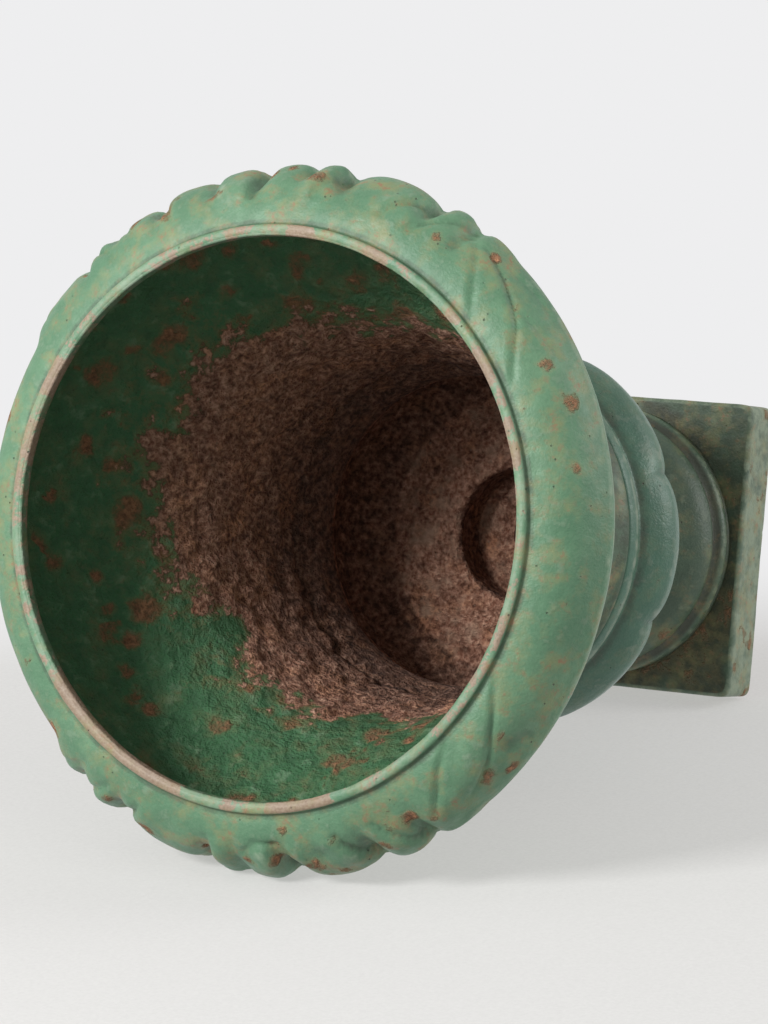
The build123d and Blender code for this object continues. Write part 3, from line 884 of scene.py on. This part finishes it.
def make_threaded_rod():
    """M12 studding: radius = 6 - depth * (1 - |2f - 1|), where f is the fraction of height / pitch less
    angle / full turn, so each ridge climbs one pitch a turn. Both ends are chamfered and closed."""
    pitch, depth, around = 1.75, 1.0, 28
    heights = np.arange(rod_bottom, rod_top, pitch / 7)
    heights = np.r_[heights, rod_top][:, None]
    angle = FULL_TURN * np.arange(around) / around
    phase = np.abs(((heights / pitch - angle / FULL_TURN) % 1) * 2 - 1)
    from_end = np.minimum(heights - rod_bottom, rod_top - heights)
    radius = rod_reach - depth * (1 - phase)
    radius = np.minimum(radius, rod_reach - 1.6 + from_end)
    points = np.stack([radius * np.cos(angle), radius * np.sin(angle), heights + 0 * angle], -1).reshape(-1, 3)
    index = np.arange(len(points)).reshape(len(heights), around)
    beside = np.roll(index, -1, 1)
    faces = np.stack([index[:-1], beside[:-1], beside[1:], index[1:]], -1).reshape(-1, 4).tolist()
    faces += [index[0, ::-1].tolist(), index[-1].tolist()]
    mesh = bpy.data.meshes.new("threaded_rod")
    mesh.from_pydata((points * MM).tolist(), [], faces)
    mesh.update()
    piece = bpy.data.objects.new("threaded_rod", mesh)
    bpy.context.scene.collection.objects.link(piece)
    return ride_with_finish(piece, "tie_rod", steel)


make_upper_bowl()
make_lower_bowl()
make_foot()
make_plinth()
make_threaded_rod()
for name in ("top_nut", "top_washer", "bottom_nut", "bottom_washer"):
    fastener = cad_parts[name]
    fastener.data.materials.clear()
    fastener.data.materials.append(steel)


# ---------------------------------------------------------------- camera, floor and light

camera_data = bpy.data.cameras.new("camera")
camera_data.lens = 147.2
camera_data.clip_end = 50
camera = bpy.data.objects.new("camera", camera_data)
camera.location = (1.1449, 0.0294, 2.5027)
back = Vector((0.4689, 0.0087, 0.8832)).normalized()
camera.rotation_mode = "QUATERNION"
roll = Matrix.Rotation(math.radians(-86.12), 3, "Z").to_quaternion()
camera.rotation_quaternion = (-back).to_track_quat("-Z", "Y") @ roll
bpy.context.scene.collection.objects.link(camera)
bpy.context.scene.camera = camera

floor_normal = Vector((0, 0.9742, 0.2256)).normalized()
floor_point = Vector((0, -0.2, 0.4556))
depth_way = (-back + floor_normal * back.dot(floor_normal)).normalized()
side_way = floor_normal.cross(depth_way)


def make_sweep():
    """Studio paper under the lying urn: flat along the depth, then a quarter circle up, then straight up."""
    bend_at, bend, wide, deep, tall = 0.42, 0.55, 1.6, 1.1, 1.4
    turn = np.linspace(0, math.pi / 2, 24)
    flat = np.linspace(-deep, bend_at, 30, endpoint=False)
    along = np.r_[flat, bend_at + bend * np.sin(turn), bend_at + bend]
    rise = np.r_[np.zeros(30), bend * (1 - np.cos(turn)), tall]
    across = np.linspace(-wide, wide, 12)
    start = np.array(floor_point, float)
    start = start - np.array(depth_way) * float(np.dot(start - (0, 0.0083, 0.346), depth_way))
    points = (
        start
        + along[:, None, None] * np.array(depth_way)
        + rise[:, None, None] * np.array(floor_normal)
        + across[None, :, None] * np.array(side_way)
    )
    rows, columns = points.shape[:2]
    index = np.arange(rows * columns).reshape(rows, columns)
    faces = np.stack([index[:-1, :-1], index[:-1, 1:], index[1:, 1:], index[1:, :-1]], -1).reshape(-1, 4)
    mesh = bpy.data.meshes.new("paper_sweep")
    mesh.from_pydata(points.reshape(-1, 3).tolist(), [], faces.tolist())
    mesh.update()
    if mesh.polygons[0].normal.dot(floor_normal) < 0:
        mesh.flip_normals()
    layer = mesh.attributes.new("wall", "FLOAT", "POINT")
    up_the_wall = np.clip((along - 0.36) / 0.22, 0, 1)
    layer.data.foreach_set("value", np.repeat(up_the_wall, columns).astype(np.float32))
    mesh.polygons.foreach_set("use_smooth", np.ones(len(mesh.polygons), bool))
    sweep = bpy.data.objects.new("paper_sweep", mesh)
    bpy.context.scene.collection.objects.link(sweep)
    for ray in ("diffuse", "glossy", "transmission", "shadow", "volume_scatter"):
        setattr(sweep, "visible_" + ray, False)

    material = bpy.data.materials.new("painted_paper")
    material.use_nodes = True
    tree = material.node_tree
    tree.nodes.clear()
    place = node(tree, "TexCoord").outputs["Object"]
    weave = patches(tree, place, 2.2, 0.3, 0.7, detail=3)
    tint = blended(tree, weave, "#E2E1DF", "#E8E7E5")
    plain = node(tree, "Emission", {"Color": linear("#EEEEEF"), "Strength": 1.0})
    glow = node(tree, "Emission", {"Color": tint, "Strength": 0.98})
    matt = node(tree, "BsdfDiffuse", {"Color": tint})
    matt = node(tree, "MixShader", {0: 0.56, 1: matt.outputs[0], 2: glow.outputs[0]})
    wall = node(tree, "Attribute", attribute_name="wall").outputs["Fac"]
    front = node(tree, "MixShader", {0: wall, 1: matt.outputs[0], 2: plain.outputs[0]})
    behind = node(tree, "NewGeometry").outputs["Backfacing"]
    clear = node(tree, "BsdfTransparent")
    both = node(tree, "MixShader", {0: behind, 1: front.outputs[0], 2: clear.outputs[0]})
    node(tree, "OutputMaterial", {"Surface": both.outputs[0]})
    mesh.materials.append(material)


make_sweep()


def soft_lamp(name, way, distance, size, power, aim=(0, 0, 0.3)):
    """A square softbox that far away in a direction, turned to face the urn."""
    data = bpy.data.lights.new(name, "AREA")
    data.shape = "SQUARE"
    data.size = size
    data.energy = power
    lamp = bpy.data.objects.new(name, data)
    way = Vector(way).normalized()
    lamp.location = Vector(aim) + way * distance
    lamp.rotation_mode = "QUATERNION"
    lamp.rotation_quaternion = (-way).to_track_quat("-Z", "Y")
    bpy.context.scene.collection.objects.link(lamp)


right_way = Vector((0.8798, 0.0838, -0.4679))
up_way = Vector((-0.0781, 0.9964, 0.0317))
soft_lamp("key_softbox", (-0.38, 0.30, 1.0), 2.6, 0.75, 64)
soft_lamp("right_fill", 0.9 * right_way + 0.35 * up_way + 0.1 * back, 2.8, 1.2, 30)

world = bpy.data.worlds.new("studio")
bpy.context.scene.world = world
world.use_nodes = True
tree = world.node_tree
tree.nodes.clear()
rays = node(tree, "LightPath")
shown = summed(tree, rays.outputs["Is Camera Ray"], rays.outputs["Is Glossy Ray"], "MAXIMUM")
shown = summed(tree, shown, rays.outputs["Is Transmission Ray"], "MAXIMUM")
ambient = node(tree, "Background", {"Color": linear("#FFFFFF"), "Strength": 0.42})
backdrop = node(tree, "Background", {"Color": linear("#EEEEEF"), "Strength": 1.0})
mixed = node(tree, "MixShader", {0: shown, 1: ambient.outputs[0], 2: backdrop.outputs[0]})
node(tree, "OutputWorld", {"Surface": mixed.outputs[0]})

bpy.context.scene.view_settings.view_transform = "Standard"
